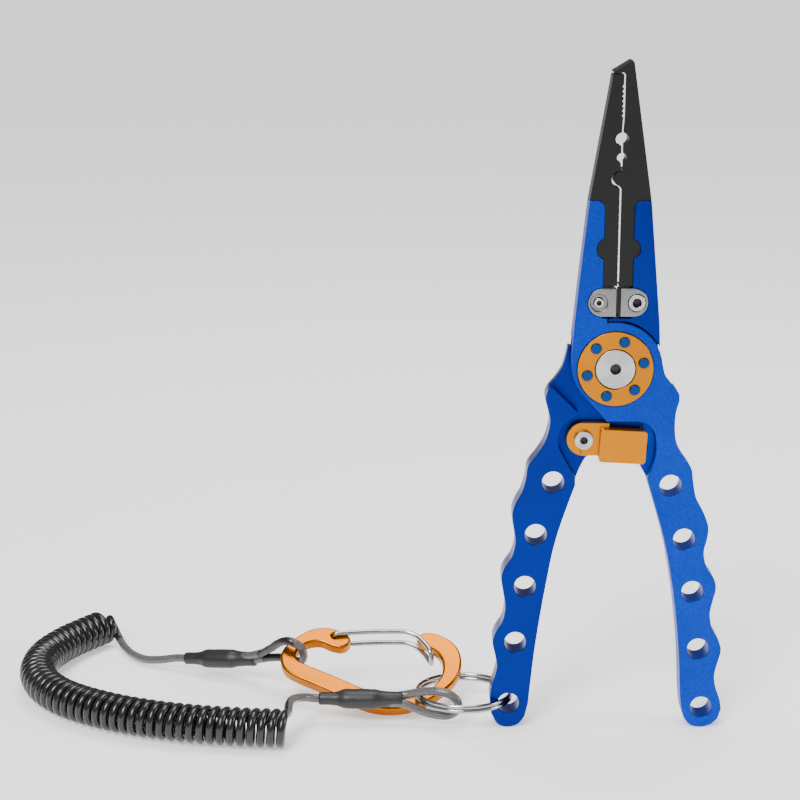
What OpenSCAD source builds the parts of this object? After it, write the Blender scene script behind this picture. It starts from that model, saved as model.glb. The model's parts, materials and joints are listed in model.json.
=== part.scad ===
// Fishing pliers with side cutters, a lock lever and a coiled lanyard.
// The pliers stand on their handle tips: +Z is up, the front face looks along -Y, and the
// origin is at the floor under the middle of the pliers. The pivot axis runs along Y.

/* [Pliers body] */
// Height of the pivot axis above the handle tips
pivot_z = 118.5; // [117:0.5:121]
// Thickness of the handles and jaw carriers
body_t = 8; // [7.6:0.1:9]
// Radius of the plate round the pivot
plate_r = 14.6; // [14.4:0.1:14.7]
// Diameter of the holes along the handles
grip_hole_d = 6.9; // [6:0.1:7.2]

/* [Jaws and cutters] */
// Gap between the closed jaws
jaw_gap = 0.5; // [0.3:0.05:0.6]
// Thickness of the steel jaws
jaw_t = 7.2; // [6.4:0.1:7.4]
// Diameter of the large hole between the jaws
large_hole_d = 4; // [3.6:0.1:4.2]
// Diameter of the small hole between the jaws
small_hole_d = 3; // [2.6:0.1:3.2]
// Number of fine notches along the jaw shanks
notch_count = 10; // [6:1:10]
// Height of the side-cutter blocks
cutter_h = 8.9; // [8.6:0.1:9]

/* [Pivot] */
// Radius of the orange ring round the pivot screw
cap_ring_r = 11.7; // [11.2:0.1:11.8]
// Radius of the pivot screw's head
pivot_head_r = 6.1; // [5.8:0.1:6.2]
// Radius of the small pins set in the ring
cap_pin_r = 1.6; // [1.4:0.1:1.7]
// Number of pins in the ring
cap_pin_count = 6; // [4:1:6]

/* [Lock lever] */
// Width of the thumb block
block_w = 14.6; // [14:0.1:14.8]
// Height of the thumb block
block_h = 10.6; // [10:0.1:10.8]

/* [Lanyard] */
// Diameter of the lanyard cable
cable_d = 2.8; // [2.6:0.1:3]
// Outer diameter of the curly part
coil_d = 12.6; // [12:0.1:13]
// Diameter of the split ring's wire
ring_wire_d = 1.4; // [1.2:0.1:1.4]
// Thickness of the carabiner's bar
clip_t = 4.3; // [4.1:0.1:4.3]
// Diameter of the carabiner's gate wire
gate_wire_d = 1.7; // [1.6:0.1:1.8]

/* [Hidden] */

$fn = 64;
half_t = body_t / 2;
// Each half keeps this far from the middle plane where the two overlap
layer_gap = 0.15;
// The front layer lies between front_y and mid_front, the back layer between mid_back and half_t
front_y = -half_t;
mid_front = -layer_gap;
mid_back = layer_gap;
// The fixed half's opposite layer starts outside this radius
clear_r = 15.2;

blue = [0.02, 0.16, 0.62];
light_blue = [0.08, 0.22, 0.72];
orange = [0.95, 0.45, 0.04];
steel = [0.75, 0.75, 0.76];
black = [0.06, 0.06, 0.07];

// --- Curves -------------------------------------------------------------------------------

function lerp(a, b, t) = a + (b - a) * t;

// One point of a smooth curve that runs from p1 to p2
function blend_point(p0, p1, p2, p3, t) =
    0.5 * (2 * p1 + (p2 - p0) * t + (2 * p0 - 5 * p1 + 4 * p2 - p3) * t * t
        + (3 * p1 - p0 - 3 * p2 + p3) * t * t * t);

// A smooth curve through the points, with n steps between two of them
function smooth(p, n) = let (m = len(p)) concat(
    [for (i = [0 : m - 2], j = [0 : n - 1])
        blend_point(p[max(i - 1, 0)], p[i], p[i + 1], p[min(i + 2, m - 1)], j / n)],
    [p[m - 1]]);

// A smooth closed curve through the points
function smooth_ring(p, n) = let (m = len(p))
    [for (i = [0 : m - 1], j = [0 : n - 1])
        blend_point(p[(i + m - 1) % m], p[i], p[(i + 1) % m], p[(i + 2) % m], j / n)];

// An arc of radius r round c, from angle a0 to a1, in n steps
function arc(c, r, a0, a1, n) =
    [for (i = [0 : n]) let (a = lerp(a0, a1, i / n)) c + r * [cos(a), sin(a)]];

// A plate of the 2D outline, from y0 to y1, drawn round the pivot axis
module slab(y0, y1) {
    translate([0, y1, pivot_z])
        rotate([90, 0, 0])
            linear_extrude(y1 - y0)
                children();
}

// A disc on an axis along Y at x, z from the pivot
module disc(r, y0, y1, x = 0, z = 0) {
    translate([x, y1, pivot_z + z])
        rotate([90, 0, 0])
            cylinder(r = r, h = y1 - y0);
}

// A hexagonal socket on an axis along Y
module hex_socket(across, y0, y1, x = 0, z = 0) {
    translate([x, y1, pivot_z + z])
        rotate([90, 0, 0])
            cylinder(r = across / sqrt(3), h = y1 - y0, $fn = 6);
}

// --- Outlines of the two halves, in x and z from the pivot -----------------------------------

// Outer edge of the right handle, scalloped for the fingers, from the plate to the tip
right_outer = [
    [14.9, 0], [15.6, -2.2], [17.6, -4.9], [19.8, -7.6], [20.1, -10.2], [19.2, -13.8], [19, -19],
    [19.7, -23.6], [22, -28], [24.6, -31.8], [25.3, -36], [26.4, -41.4], [29, -46.4], [30.6, -50.8],
    [30.4, -54.8], [29.5, -59.4], [30.6, -64.4], [33, -68], [33.8, -71.4], [33, -75.4],
    [32.2, -79.8], [33, -84.6], [35.2, -88.6], [36.2, -92.2], [35.4, -96], [34.4, -100.6],
    [35, -105], [36.4, -109], [37, -112.4]
];
right_tip = [[36, -115.6], [33.7, -117.7], [30.4, -118.5], [27.1, -117.7], [24.8, -114.6], [24, -111]];
right_inner = [[23.5, -106], [22.8, -94], [21.2, -79.2], [19.2, -66.6], [16.4, -53.7], [10.9, -35.4]];

// Outer edge of the left handle, from the plate to the tip
left_outer = [
    [-14.4, 6.6], [-15.2, 2.6], [-16.2, -0.6], [-18, -3.6], [-20.4, -6.6], [-21.3, -9.4],
    [-20.6, -12.6], [-19.8, -16.1], [-20.2, -20], [-21.6, -24], [-24, -27.8], [-26.4, -31.2],
    [-27, -35.2], [-28.2, -39.6], [-30.2, -43.4], [-31.1, -46.8], [-30.7, -51], [-30, -55.8],
    [-31, -60.8], [-33.4, -64.6], [-34.3, -68], [-33.7, -72.4], [-32.9, -77.4], [-33.7, -82.4],
    [-35.9, -86.2], [-36.8, -89.6], [-36, -93.6], [-35.3, -97.6], [-36, -101.6], [-37.2, -105.6],
    [-37.5, -109.6]
];
left_tip = [[-37, -113.8], [-34.9, -117.5], [-31.6, -118.5], [-28.3, -117.5], [-26.2, -114.8]];
left_inner = [[-25.2, -110.4], [-24.4, -102], [-23, -89], [-20.3, -70.9], [-17.1, -54.3], [-11, -35.5]];

right_holes = [[18.3, -37.4], [23.1, -55], [26.3, -72.4], [28.8, -91.7], [30.5, -111.6]];
left_holes = [[-18.5, -36.3], [-23.6, -53.5], [-26.8, -70.7], [-29.6, -89.5], [-31.5, -110.3]];

curve_steps = 4;
right_handle = concat(
    smooth(right_outer, curve_steps), smooth(right_tip, curve_steps), smooth(right_inner, curve_steps));
left_handle = concat(
    smooth(left_outer, curve_steps), smooth(left_tip, curve_steps), smooth(left_inner, curve_steps));

// Jaw carriers: outer edges taper up to the jaws, inner edges hold the jaw shanks
carrier_top_z = 52.1;
carrier_corner_r = 2.2;
shank_r_x = 4.6;
shank_l_x = -4.5;
shank_bottom_z = 25.9;
cutter_top_z = 25.3;
cutter_bottom_z = cutter_top_z - cutter_h;
tongue_top_z = 15.9;
lobe_z = 37.4;
lobe_x = 3.4;
lobe_r = 3.3;
cutter_line_x = 0.2;

// Right side of the left carrier, from its top corner down to the tongue line
left_carrier_edge = concat(
    [[-9.1, carrier_top_z]],
    arc([shank_l_x - carrier_corner_r, carrier_top_z - carrier_corner_r], carrier_corner_r, 90, 0, 5),
    [[shank_l_x, cutter_top_z], [-0.6, cutter_top_z]]);
right_carrier_edge = concat(
    [[1, cutter_top_z], [shank_r_x, cutter_top_z]],
    arc([shank_r_x + carrier_corner_r, carrier_top_z - carrier_corner_r], carrier_corner_r, 180, 90, 5),
    [[9.6, carrier_top_z]]);
left_carrier_outer = [[-13.5, 5.6], [-12.9, 14], [-11.6, 27.9]];
right_carrier_outer = [[11.9, 27.9], [13.2, 14], [13.5, 6]];

angle_on_plate = 101;
// Front layer of the front half: left carrier, pivot plate, right handle with the lock's bay
front_half_front = concat(
    left_carrier_edge,
    [[-0.6, 16.3], [-3.1, 16.3]],
    arc([0, 0], plate_r, angle_on_plate, 6, 22),
    right_handle,
    smooth([[11.4, -33.8], [12.3, -31], [13.1, -28], [13.3, -24], [12.6, -20.2], [10.4, -17.6], [7.6, -16.8]], 4),
    [[-2.3, -16.8]],
    smooth([[-4.6, -14], [-8.6, -9.6], [-11.2, -6.4], [-13, -2.6], [-13.6, 1.6]], 4),
    left_carrier_outer);

// Back layer of the front half, apart from the handle: left carrier with its tongue
front_half_back_carrier = concat(
    left_carrier_edge,
    [[-0.6, tongue_top_z], [2.5, tongue_top_z]],
    arc([0, 0], clear_r, 80.5, 124, 10),
    arc([0, 0], clear_r + 1, 124, 146, 6),
    [[-12.9, 14], [-11.6, 27.9]]);
// Back layer of the back half: right carrier, pivot plate, left handle
back_half_back = concat(
    right_carrier_edge,
    right_carrier_outer,
    smooth([[13.6, 1.6], [13, -2.6], [11.2, -6.4], [9.8, -9.6], [9.6, -12.6], [9.3, -16]], 4),
    smooth([[8.8, -19.4], [8.1, -24.6], [5, -27.8], [-2, -28.2], [-7.4, -28.8], [-9.6, -32], [-11, -35.5]], 4),
    [for (i = [len(left_handle) - 2 : -1 : 0]) left_handle[i]],
    arc([0, 0], plate_r, 155, 79, 18),
    [[3.1, 16.3], [1, 16.3]]);

// Front layer of the back half: right carrier with its tongue, and the thick part of the left handle
back_half_front_carrier = concat(
    right_carrier_edge,
    [[11.9, 27.9], [13.2, 14]],
    arc([0, 0], clear_r, 27, 99.5, 16),
    [[-2.5, tongue_top_z], [1, tongue_top_z]]);
lever_x = -9.2;
lever_z = -22.8;
lever_end_r = 5.3;
lever_bay_r = 8;
// Edge of the thick part of the left handle: past the plate, round the lever and down to the inner edge
left_step = concat(
    [[-18.6, -6.4], [-11.1, -13.9], [-12, -15.2]],
    arc([lever_x, lever_z], lever_bay_r, 112, 212, 12),
    [[-11.6, -35]]);

module left_thick_area() {
    intersection() {
        polygon(left_handle_area);
        polygon(concat(left_step, [[-11.6, -130], [-60, -130], [-60, -6.4]]));
    }
}
left_handle_area = concat(left_handle, [[-7.4, -28.8], [0, 0]]);
right_handle_area = concat(right_handle, [[8.2, -30.6], [0, 0]]);

module right_thick_area() {
    intersection() {
        polygon(right_handle_area);
        polygon([[19.4, -5.6], [11.4, -13.4], [9.4, -17], [8.4, -24], [8.2, -30.6], [10.9, -36],
            [10.9, -130], [60, -130], [60, -5.6]]);
    }
}

// The part of an outline from x on, where a carrier is as thick as both layers together
module beside_middle(x) {
    intersection() {
        children();
        translate([x, tongue_top_z - 10]) square([19.4, 60]);
    }
}

// Slots and steps cut round the pivot in the front half; the back half uses them turned about Z
cap_recess_y = front_y + 1;
head_seat_y = -2.65;
spring_recess_r = 9.2;
spring_recess_y = -1.75;
bush_r = 4;
run_gap = 0.04;
pin_circle_r = 8.9;
pin_bottom_y = -2.05;
pin_angle = 13;
cutter_pocket_y = -0.9;
cutter_left_x = -9;
cutter_right_x = 9.5;
left_screw_x = -5.6;
right_screw_x = 6;
cutter_screw_z = 20.8;
screw_r = 1.5;
screw_head_r = 2.6;
peg_r = 0.65;
peg_circle_r = 6.6;

module cap_pin_places(y0, y1, r) {
    for (i = [0 : cap_pin_count - 1])
        let (a = pin_angle + i * 360 / cap_pin_count)
            disc(r, y0, y1, pin_circle_r * cos(a), pin_circle_r * sin(a));
}

module pivot_cuts(bore_r) {
    disc(bore_r, -half_t - 1, 1);
    disc(pivot_head_r + 0.15, -half_t - 1, head_seat_y);
    disc(cap_ring_r + 0.1, -half_t - 1, cap_recess_y);
    disc(spring_recess_r, spring_recess_y, 1);
    cap_pin_places(-half_t - 1, pin_bottom_y, cap_pin_r);
}

module cutter_area(x0, x1) {
    r = cutter_h / 2;
    zc = cutter_bottom_z + r;
    left_c = cutter_left_x + r;
    right_c = cutter_right_x - r;
    intersection() {
        union() {
            translate([left_c, zc]) circle(r);
            translate([right_c, zc]) circle(r);
            translate([left_c, cutter_bottom_z]) square([right_c - left_c, cutter_h]);
        }
        translate([x0, cutter_bottom_z - 1]) square([x1 - x0, cutter_h + 2]);
    }
}

// Pocket for a block: the block's own outline, opened at its corners so that no thin edge is left
module cutter_pocket(x0, x1, corner_x0, corner_x1) {
    slab(-half_t - 1, cutter_pocket_y) {
        cutter_area(x0, x1);
        translate([corner_x0, cutter_bottom_z - 0.5]) square([corner_x1 - corner_x0, cutter_h + 1]);
    }
}

module lobe_cut(side, y0, y1) {
    disc(lobe_r + 0.02, y0, y1, side * lobe_x, lobe_z);
}

// --- Front half: left carrier, pivot plate and right handle --------------------------------

module front_half() {
    color(light_blue)
    difference() {
        union() {
            slab(front_y, mid_front) polygon(front_half_front);
            slab(mid_back, half_t) polygon(front_half_back_carrier);
            slab(mid_front, mid_back) beside_middle(-20) polygon(front_half_back_carrier);
            slab(mid_front, half_t) right_thick_area();
        }
        pivot_cuts(bush_r + run_gap);
        disc(peg_r, spring_recess_y - 0.9, 0, peg_circle_r * cos(-60), peg_circle_r * sin(-60));
        lobe_cut(-1, -half_t - 1, half_t + 1);
        cutter_pocket(-20, 0, shank_l_x, 0);
        disc(screw_r, -half_t, half_t + 1, left_screw_x, cutter_screw_z);
        disc(screw_head_r + 0.1, half_t - 1.9, half_t + 1, left_screw_x, cutter_screw_z);
        for (p = right_holes)
            disc(grip_hole_d / 2, -half_t - 1, half_t + 1, p[0], p[1]);
        disc(catch_pin_r, -1, 2.5, catch_x, catch_z);
    }
}

// --- Back half: right carrier, pivot plate and left handle ----------------------------------

module back_half() {
    color(blue)
    difference() {
        union() {
            slab(mid_back, half_t) polygon(back_half_back);
            slab(front_y, mid_front) polygon(back_half_front_carrier);
            slab(mid_front, mid_back) beside_middle(1) polygon(back_half_front_carrier);
            slab(front_y, mid_back) left_thick_area();
        }
        rotate([0, 0, 180]) pivot_cuts(bush_r);
        disc(peg_r, 0, 2.65, peg_circle_r * cos(120), peg_circle_r * sin(120));
        lobe_cut(1, -half_t - 1, half_t + 1);
        cutter_pocket(0.3, 20, 0.3, shank_r_x);
        disc(screw_r, -half_t, 3, right_screw_x, cutter_screw_z);
        disc(screw_r, -1, 3.4, lever_x, lever_z);
        for (p = left_holes)
            disc(grip_hole_d / 2, -half_t - 1, half_t + 1, p[0], p[1]);
    }
}

// --- Jaws ------------------------------------------------------------------------------------

jaw_top_z = 89.8;
tip_line_x = 0.55;
mid_line_x = 0.25;
low_line_x = 0.15;
bump_z = 58.5;
bump_r = 2.1;
cup_r = 2.8;
tooth_count = 7;
tooth_pitch = 1.45;
first_tooth_z = 77.9;
notch_pitch = 2.52;
first_notch_z = 30.1;
half_gap = jaw_gap / 2;

// The line where the jaws meet, from the top down
meeting_line = [
    [tip_line_x, jaw_top_z], [tip_line_x, 77], [mid_line_x, 72], [mid_line_x, 61.5], [low_line_x, 55.5],
    [low_line_x, shank_bottom_z]
];

function shifted(p, dx) = [for (q = p) q + [dx, 0]];

// Diagonal slots between the tips' teeth
module teeth() {
    for (i = [0 : tooth_count - 1])
        translate([tip_line_x - 0.1, first_tooth_z + i * tooth_pitch])
            rotate(58)
                square([1.9, 0.5], center = true);
}

// Small diamond notches down the meeting line of the shanks
module notches() {
    for (i = [0 : notch_count - 1])
        translate([low_line_x, first_notch_z + i * notch_pitch])
            rotate(45)
                square(0.62, center = true);
}

module jaw_holes() {
    translate([mid_line_x, 70.5]) circle(d = large_hole_d);
    translate([mid_line_x, 64.9]) circle(d = small_hole_d);
}

// The right jaw's meeting face leans away towards the back, so that only its front edge is close
relief_angle = 5.7;
relief_x = 0.35;

module leaning_face(low_z, high_z) {
    line = [for (q = shifted(meeting_line, half_gap)) if (q[1] >= low_z && q[1] <= high_z) q];
    back = [for (i = [len(line) - 1 : -1 : 0]) line[i] - [1.6, 0]];
    translate([relief_x, -jaw_t / 2, 0])
        rotate([0, 0, -relief_angle])
            translate([-relief_x, jaw_t / 2, 0])
                slab(-jaw_t, jaw_t + 1) polygon(concat(line, back));
}

// The left jaw's top falls away towards the back, so that only its front edge is close to the hook
top_relief_angle = 5;

module falling_top() {
    translate([-6, -jaw_t / 2, jaw_top_z])
        rotate([-top_relief_angle, 0, 0])
            cube([12, jaw_t + 2, 3]);
}

module left_jaw() {
    outline = concat(
        [[-2.9, jaw_top_z]],
        shifted(meeting_line, -half_gap),
        [[shank_l_x, shank_bottom_z], [shank_l_x, carrier_top_z - carrier_corner_r]],
        arc([shank_l_x - carrier_corner_r, carrier_top_z - carrier_corner_r], carrier_corner_r, 0, 90, 5),
        [[-9.1, carrier_top_z]]);
    color(black)
    difference() {
        slab(-jaw_t / 2, jaw_t / 2)
            difference() {
                union() {
                    polygon(outline);
                    intersection() {
                        translate([-lobe_x, lobe_z]) circle(lobe_r);
                        translate([-20, 30]) square([18, 15]);
                    }
                }
                jaw_holes();
                translate([low_line_x, bump_z]) circle(cup_r);
                teeth();
                notches();
            }
        falling_top();
    }
}

module right_jaw() {
    line = shifted(meeting_line, half_gap);
    outline = concat(
        [[3.3, 93.2], [2.7, 94], [-2.9, 90.6], [-2.8, 90.3], [tip_line_x + half_gap, 90.3]],
        line,
        [[shank_r_x, shank_bottom_z], [shank_r_x, carrier_top_z - carrier_corner_r]],
        arc([shank_r_x + carrier_corner_r, carrier_top_z - carrier_corner_r], carrier_corner_r, 180, 90, 5),
        [[9.6, carrier_top_z]]);
    color(black)
    difference() {
        slab(-jaw_t / 2, jaw_t / 2)
            difference() {
                union() {
                    polygon(outline);
                    intersection() {
                        translate([lobe_x, lobe_z]) circle(lobe_r);
                        translate([2, 30]) square([18, 15]);
                    }
                    translate([low_line_x, bump_z]) circle(bump_r);
                }
                jaw_holes();
                teeth();
                notches();
            }
        leaning_face(61, 100);
        leaning_face(20, 56);
    }
}

// --- Side cutters ----------------------------------------------------------------------------

cutter_front_y = front_y - 0.3;

module left_cutter() {
    color(steel)
    difference() {
        slab(cutter_front_y, cutter_pocket_y) cutter_area(-20, -0.2);
        disc(screw_r, -half_t - 1, half_t, left_screw_x, cutter_screw_z);
        disc(screw_r + 1.2, -half_t - 1, cutter_front_y + 0.9, left_screw_x, cutter_screw_z);
    }
}

module right_cutter() {
    color(steel)
    difference() {
        slab(cutter_front_y, cutter_pocket_y) cutter_area(0.9, 20);
        disc(screw_r, -half_t - 1, half_t, right_screw_x, cutter_screw_z);
        disc(screw_head_r + 0.1, -half_t - 1, cutter_front_y + 2, right_screw_x, cutter_screw_z);
    }
}

module cutter_insert() {
    color(black)
    slab(cutter_front_y, cutter_pocket_y) cutter_area(0.1, 0.9);
}

module left_cutter_screw() {
    color(steel)
    difference() {
        union() {
            disc(screw_r, cutter_front_y - 0.1, half_t - 1.9, left_screw_x, cutter_screw_z);
            disc(screw_head_r, half_t - 1.9, half_t - 0.1, left_screw_x, cutter_screw_z);
        }
        hex_socket(1.3, -half_t - 1, cutter_front_y + 0.8, left_screw_x, cutter_screw_z);
        hex_socket(2.5, half_t - 1.3, half_t, left_screw_x, cutter_screw_z);
    }
}

module right_cutter_screw() {
    color(steel)
    difference() {
        union() {
            disc(screw_r, cutter_front_y + 2, 2.8, right_screw_x, cutter_screw_z);
            disc(screw_head_r, cutter_front_y - 0.2, cutter_front_y + 2, right_screw_x, cutter_screw_z);
        }
        hex_socket(2.5, -half_t - 1, cutter_front_y + 1.2, right_screw_x, cutter_screw_z);
    }
}

// --- Pivot -----------------------------------------------------------------------------------

bush_bore_r = 2.55;
washer_r = 12.4;
head_front_y = front_y - 0.35;
bush_end_y = 2.7;
thread_r = 2;

module pivot_bush() {
    color("goldenrod")
    difference() {
        disc(bush_r, -bush_end_y, bush_end_y);
        disc(bush_bore_r, -half_t, half_t);
    }
}

module pivot_screw() {
    color(steel)
    difference() {
        union() {
            disc(pivot_head_r, head_front_y, -bush_end_y);
            disc(2.5, -bush_end_y, 0.2);
            disc(thread_r, 0.2, 3.3);
        }
        hex_socket(2.8, -half_t - 1, head_front_y + 1.1);
    }
}

module pivot_nut() {
    color(steel)
    difference() {
        union() {
            disc(pivot_head_r, bush_end_y, -head_front_y);
            disc(2.5, 0.3, bush_end_y);
        }
        disc(thread_r, 0, 3.4);
        hex_socket(2.8, 3.7, half_t + 1);
    }
}

// Thin slippery washer between the two plates, outside the spring
module thrust_washer() {
    color("white")
    difference() {
        disc(washer_r, -0.12, 0.12);
        disc(spring_recess_r + 0.3, -1, 1);
    }
}

module cap_ring() {
    color(orange)
    difference() {
        disc(cap_ring_r, front_y - 0.3, cap_recess_y);
        disc(pivot_head_r + 0.25, -half_t - 1, 0);
        cap_pin_places(-half_t - 1, 0, cap_pin_r);
    }
}

module cap_pins() {
    color(blue)
    cap_pin_places(front_y - 1, pin_bottom_y, cap_pin_r);
}

module front_cap_ring() {
    cap_ring();
}

module front_cap_pins() {
    cap_pins();
}

module rear_cap_ring() {
    rotate([0, 0, 180]) cap_ring();
}

module rear_cap_pins() {
    rotate([0, 0, 180]) cap_pins();
}

// A tube of radius r along the path, with the given number of sides; it stays upright along its way
function unit(v) = v / norm(v);
function heading(path, i) =
    unit(path[min(i + 1, len(path) - 1)] - path[max(i - 1, 0)]);
function carried(path, i, side) =
    let (t = heading(path, i)) unit(side - t * (side * t));
function side_vectors(path, first) = [
    for (i = 0, s = carried(path, 0, first); i < len(path); i = i + 1,
        s = i < len(path) ? carried(path, i, s) : s) s
];

module tube(path, r, sides, first_side) {
    s = side_vectors(path, first_side);
    n = len(path);
    points = [
        for (i = [0 : n - 1], k = [0 : sides - 1])
            let (u = s[i], v = cross(heading(path, i), u), a = 360 * k / sides)
                path[i] + r * (u * cos(a) + v * sin(a))
    ];
    walls = [
        for (i = [0 : n - 2], k = [0 : sides - 1])
            let (a = i * sides + k, b = i * sides + (k + 1) % sides)
                each [[a, a + sides, b + sides], [a, b + sides, b]]
    ];
    first_cap = [for (k = [0 : sides - 1]) k];
    last_cap = [for (k = [sides - 1 : -1 : 0]) (n - 1) * sides + k];
    polyhedron(points = points, faces = concat([first_cap], walls, [last_cap]));
}

// Torsion spring: one and a half turns round the bush, each end bent into a peg hole
spring_wire_r = 0.55;
spring_half_h = 0.75;
spring_start = 120;
spring_turn = 540;
spring_path = concat(
    [[peg_circle_r * cos(spring_start), 2.4, peg_circle_r * sin(spring_start)]],
    [for (i = [0 : 30])
        let (a = spring_start + spring_turn * i / 30)
            [peg_circle_r * cos(a), lerp(1.1, -1.1, i / 30), peg_circle_r * sin(a)]],
    [[peg_circle_r * cos(spring_start + spring_turn), -2.4, peg_circle_r * sin(spring_start + spring_turn)]]);

module return_spring() {
    color(steel)
    translate([0, 0, pivot_z])
        tube(spring_path, spring_wire_r, 8, [0, 0, 1]);
}

// --- Lock lever --------------------------------------------------------------------------------

lever_y0 = -2.5;
lever_y1 = -0.3;
block_front_y = front_y - 0.6;
block_tilt = -3;
block_cx = 3;
block_cz = -24.7;
block_corner_r = 1.1;
lever_bore_r = 1.55;
lock_head_r = 2.9;
catch_x = 10.1;
catch_z = -26.4;
catch_pin_r = 1;

// A rectangle with rounded corners, centred
module soft_rectangle(w, h, r) {
    square([w, h - 2 * r], center = true);
    square([w - 2 * r, h], center = true);
    for (sx = [-1, 1], sz = [-1, 1])
        translate([sx * (w / 2 - r), sz * (h / 2 - r)])
            circle(r);
}

module block_place() {
    translate([block_cx, block_cz])
        rotate(block_tilt)
            children();
}

module lock_lever() {
    color(orange)
    difference() {
        union() {
            slab(lever_y0, lever_y1) {
                translate([lever_x, lever_z]) circle(lever_end_r);
                translate([lever_x, lever_z - lever_end_r]) square([8, lever_end_r * 2]);
            }
            slab(block_front_y, lever_y1) block_place() soft_rectangle(block_w, block_h, block_corner_r);
        }
        disc(lever_bore_r, -half_t, 0, lever_x, lever_z);
        // pocket in the block's back that comes down over the catch pin, open at the top and the right
        slab(-2.2, 0)
            translate([catch_x - 1.6, catch_z - 1.3]) square([6, 10]);
    }
}

module lock_washer() {
    color(steel)
    difference() {
        disc(lever_end_r - 1, lever_y1 + 0.02, mid_back, lever_x, lever_z);
        disc(lever_bore_r + 0.1, -1, 1, lever_x, lever_z);
    }
}

module lock_screw() {
    color(steel)
    difference() {
        union() {
            disc(lock_head_r, -4.1, lever_y0 - 0.05, lever_x, lever_z);
            disc(screw_r, lever_y0 - 0.05, 3.4, lever_x, lever_z);
        }
        hex_socket(2, -half_t - 1, -3.1, lever_x, lever_z);
    }
}

module lock_catch_pin() {
    color(steel)
    disc(catch_pin_r, -1.8, 2.5, catch_x, catch_z);
}

// --- Split ring -----------------------------------------------------------------------------------

ring_r = 15.2;
ring_center = [-45.6, 5.6, 7.9];
ring_tilt = 2;

module ring_place() {
    translate(ring_center)
        rotate([-ring_tilt, 0, 0])
            children();
}

// Two turns of wire side by side, joined by a short step
module split_ring() {
    color(steel)
    ring_place() {
        for (s = [-1, 1])
            translate([0, 0, s * (ring_wire_d / 2 - 0.02)])
                rotate_extrude($fn = 72)
                    translate([ring_r, 0])
                        circle(d = ring_wire_d, $fn = 20);
    }
}

// --- Carabiner ---------------------------------------------------------------------------------------

// The carabiner leans on the split ring: its own flat frame is turned, then tipped up at the back
clip_turn = -27;
clip_tip = 33;
clip_c = [-77, 18.1];
clip_hinge_y = 6;
clip_raise = 1.15;
clip_pivot = [-14.2, 3.1];

module clip_place() {
    translate([0, clip_hinge_y, clip_raise])
        rotate([clip_tip, 0, 0])
            translate([clip_c[0], clip_c[1], 0])
                rotate([0, 0, clip_turn])
                    children();
}

clip_outline = [
    [-12, 5.9], [-17.5, 5.4], [-22.2, 2.6], [-24.8, -1.5], [-26.6, -6], [-27, -10.6], [-24.4, -15.2],
    [-19.6, -17.2], [-8, -17.2], [2, -17.2], [9, -16.9], [15, -15], [20.6, -11.4], [25.4, -5.8],
    [28.6, 1], [29.8, 7], [28.6, 12.4], [25.6, 16.8], [21.2, 19.2], [16.6, 19.6], [12.8, 18.6],
    [10.7, 16.2], [11.6, 13.7], [14.4, 13.6], [18.4, 13], [22, 10.8], [24.2, 7], [24.6, 3],
    [23.6, -1.4], [20.8, -6], [16.4, -9.4], [11, -10.9], [2, -11], [-8, -11], [-17, -11.2],
    [-21, -10.6], [-22.6, -7.8], [-21, -3.8], [-17.6, -1.2], [-13, -1], [-9.6, 0.1], [-8.4, 2.8],
    [-9.4, 5]
];

module carabiner_frame() {
    color(orange)
    clip_place()
        difference() {
            linear_extrude(clip_t) polygon(smooth_ring(clip_outline, 3));
            translate([clip_pivot[0], clip_pivot[1], -1])
                cylinder(d = gate_wire_d + 0.1, h = clip_t + 2);
        }
}

// Gate: one wire bent over and under the bar, its ends in the hinge hole
gate_wire_r = gate_wire_d / 2;
gate_lift = clip_t + 0.15 + gate_wire_r;
gate_drop = -0.15 - gate_wire_r;
gate_route = [
    [-13.2, 3.8], [-8, 6.9], [-2.6, 10], [5.6, 14.2], [8.4, 14.9], [11.4, 14.6], [15.6, 12.6], [17.4, 11.2]
];
gate_last = len(gate_route) - 1;
hinge_mid_z = clip_t / 2;
gate_path = concat(
    [for (z = [hinge_mid_z + 0.3, gate_lift - 0.9, gate_lift - 0.25]) [clip_pivot[0], clip_pivot[1], z]],
    [for (p = gate_route) [p[0], p[1], gate_lift]],
    [[18.3, 10.4, gate_lift - 0.6], [18.5, 10.2, gate_lift - 1.4]],
    [[18.5, 10.2, gate_drop + 1.4], [18.3, 10.4, gate_drop + 0.6]],
    [for (i = [gate_last : -1 : 0]) [gate_route[i][0], gate_route[i][1], gate_drop]],
    [for (z = [gate_drop + 0.25, gate_drop + 0.9, hinge_mid_z - 0.3]) [clip_pivot[0], clip_pivot[1], z]]);

module carabiner_gate() {
    color(steel)
    clip_place()
        tube(gate_path, gate_wire_r, 12, [-0.5, 0.87, 0.1]);
}

// --- Lanyard cable --------------------------------------------------------------------------------------

cable_r = cable_d / 2;

// Where the two sleeves start, at the loops, and which way they run
near_a = [-65.6, -0.9, 8.3];
near_b = [-93, -0.7, 8.5];
far_a = [-115.5, 33.9, 8.4];
far_b = [-144, 45, 4.3];
ferrule_w = 5.4;
ferrule_t = 3.4;
ferrule_start = 8.5;
ferrule_length = 10.5;
sleeve_length = 27;

function on_line(a, b, distance) = a + unit(b - a) * distance;

// Loop round the split ring, both ends at the near sleeve
near_loop_route = [
    [-65.1, 0.1, 9.4], [-62, -0.4, 10.2], [-58, -1.6, 11.3], [-54, -3, 11.8], [-50.4, -4, 11.2], [-48.2, -4.4, 9.4],
    [-47.6, -4.4, 7.6], [-48.2, -4.4, 5.8], [-50.6, -4, 4.1], [-54, -3.4, 3.8], [-58, -2.8, 4.5], [-62, -2.3, 6],
    [-65.1, -1.9, 7.2]
];
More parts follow.
